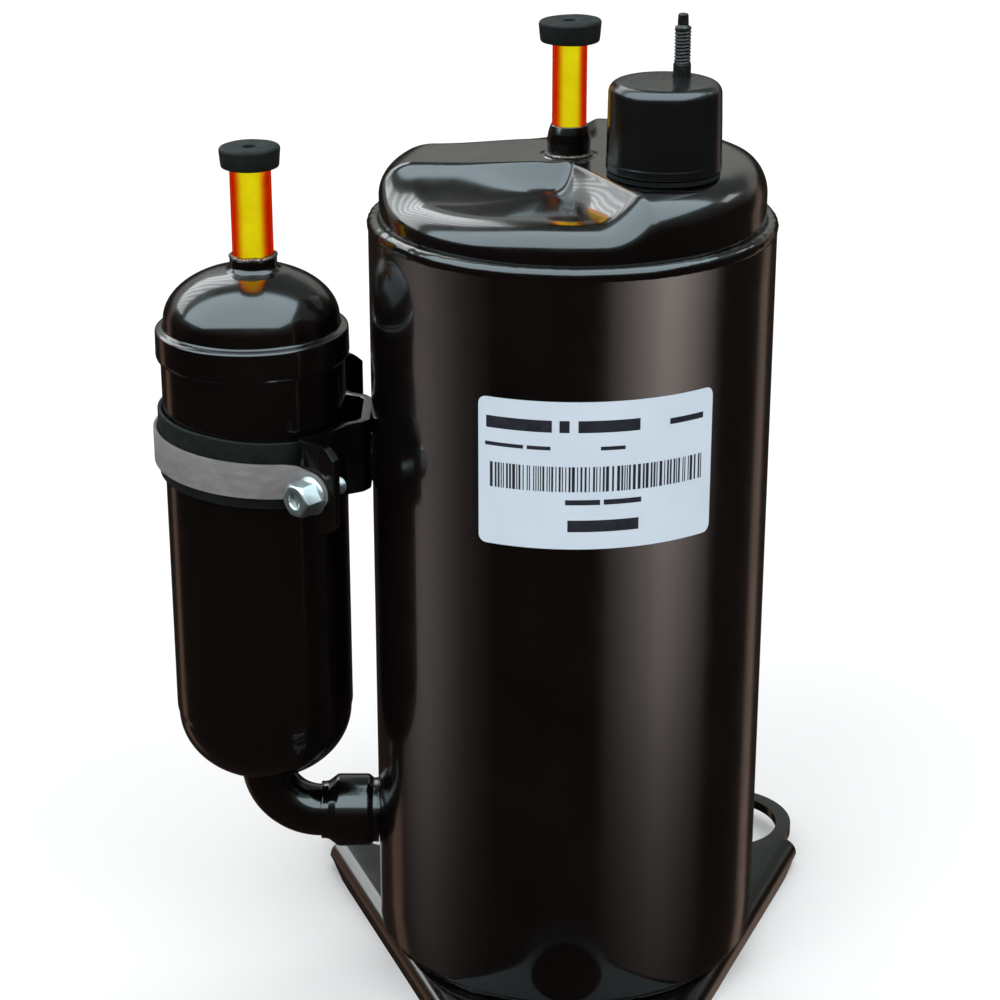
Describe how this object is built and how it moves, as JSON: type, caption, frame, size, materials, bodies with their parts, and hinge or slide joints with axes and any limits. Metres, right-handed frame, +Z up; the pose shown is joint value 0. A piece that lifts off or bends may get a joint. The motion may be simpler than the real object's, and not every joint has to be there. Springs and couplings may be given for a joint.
{
  "type": "refrigeration rotary compressor",
  "caption": "Hermetic rotary compressor in a gloss black upright shell, with a side suction accumulator, stoppered copper tubes, terminal cover and triangular foot plate.",
  "frame": {"origin": "on the shell's axis, on the flat underside of the bottom cap, in the plane that the compressor stands on", "axes": "+Z up along the shell's axis and the crankshaft; -X towards the accumulator; -Y towards the rating label"},
  "size_m": [0.1966, 0.183, 0.2894],
  "materials": {
    "black_paint": "glossy black enamel",
    "copper": "bright drawn copper",
    "braze": "rough brazing filler",
    "plug_rubber": "matt moulded rubber",
    "cover_plastic": "satin black moulding",
    "black_stud": "blackened thread",
    "zinc": "bright zinc plate",
    "band_steel": "dull grey strip",
    "label_paper": "satin white film",
    "machined_steel": "ground",
    "terminal_steel": "nickel plated",
    "core_iron": "laminated",
    "cast_iron": "machined casting",
    "enamelled_copper": "varnished winding",
    "cast_aluminium": "die cast",
    "brass": "turned",
    "connector_nylon": "natural nylon",
    "lead_sleeve": "woven sleeve"
  },
  "bodies": {
    "housing": {"main_shell": "black_paint", "top_cap": "black_paint", "bottom_cap": "black_paint", "top_weld_ring": "black_paint", "bottom_weld_ring": "black_paint", "base_plate": "black_paint", "discharge_collar": "black_paint", "discharge_tube": "copper", "terminal_body": "terminal_steel", "terminal_pin_1": "machined_steel", "terminal_pin_2": "machined_steel", "terminal_pin_3": "machined_steel", "terminal_gasket": "plug_rubber", "cover_stud": "black_stud", "accumulator_body": "black_paint", "accumulator_cap": "black_paint", "suction_braze_ring": "braze", "suction_tube": "copper", "accumulator_outlet_tube": "black_paint", "accumulator_baffle": "machined_steel", "accumulator_screen": "machined_steel", "inlet_nipple": "black_paint", "clamp_bracket": "black_paint", "clamp_band": "band_steel", "clamp_pad": "plug_rubber", "clamp_bolt": "zinc", "rating_label": "label_paper", "stator_core": "core_iron", "stator_winding": "enamelled_copper", "vane_spring": "machined_steel", "cylinder_block": "cast_iron", "main_bearing": "cast_iron", "sub_bearing": "cast_iron", "discharge_muffler": "machined_steel", "valve_stop": "machined_steel", "valve_rivet": "machined_steel", "pump_bolt_1": "zinc", "pump_bolt_2": "zinc", "pump_bolt_3": "zinc", "pump_bolt_4": "zinc", "lead_connector": "connector_nylon", "motor_lead_1": "lead_sleeve", "motor_lead_2": "lead_sleeve", "motor_lead_3": "lead_sleeve"},
    "rotor": {"crankshaft": "cast_iron", "rotor_core": "core_iron", "rotor_end_ring_upper": "cast_aluminium", "rotor_end_ring_lower": "cast_aluminium", "balance_weight_upper": "brass", "balance_weight_lower": "brass", "oil_paddle": "machined_steel"},
    "rolling_piston": {"roller": "machined_steel"},
    "vane": {"vane": "machined_steel"},
    "discharge_reed": {"valve_reed": "machined_steel"},
    "discharge_stopper": {"discharge_plug": "plug_rubber"},
    "suction_stopper": {"suction_plug": "plug_rubber"},
    "cover": {"terminal_cover": "cover_plastic"}
  },
  "joints": [
    {"name": "crank_spin", "type": "hinge", "parent": "housing", "child": "rotor", "pos_m": [0, 0, 0.043], "axis": [0, 0, 1], "continuous": true},
    {"name": "piston_orbit", "type": "hinge", "parent": "rotor", "child": "rolling_piston", "pos_m": [-0.0045, 0.0026, 0.043], "axis": [0, 0, 1], "continuous": true},
    {"name": "vane_slide", "type": "slide", "parent": "housing", "child": "vane", "axis": [-0.866, 0.5, 0], "range_m": [0, 0.0015], "stiffness_N_per_m": 150, "springref_m": -0.004, "deforming": ["vane_spring"]},
    {"name": "reed_lift", "type": "hinge", "parent": "housing", "child": "discharge_reed", "pos_m": [0.01075, 0.01862, 0.0615], "axis": [-0.0436, 0.999, 0], "range_deg": [0, 4.5], "stiffness_Nm_per_rad": 0.002},
    {"name": "discharge_stopper_lift", "type": "slide", "parent": "housing", "child": "discharge_stopper", "axis": [0, 0, 1], "range_m": [0, 0.03]},
    {"name": "suction_stopper_lift", "type": "slide", "parent": "housing", "child": "suction_stopper", "axis": [0, 0, 1], "range_m": [0, 0.03]},
    {"name": "cover_lift", "type": "slide", "parent": "housing", "child": "cover", "axis": [0, 0, 1], "range_m": [0, 0.055]}
  ],
  "couplings": [
    {"joint": "piston_orbit", "follows": "crank_spin", "ratio": -1}
  ]
}
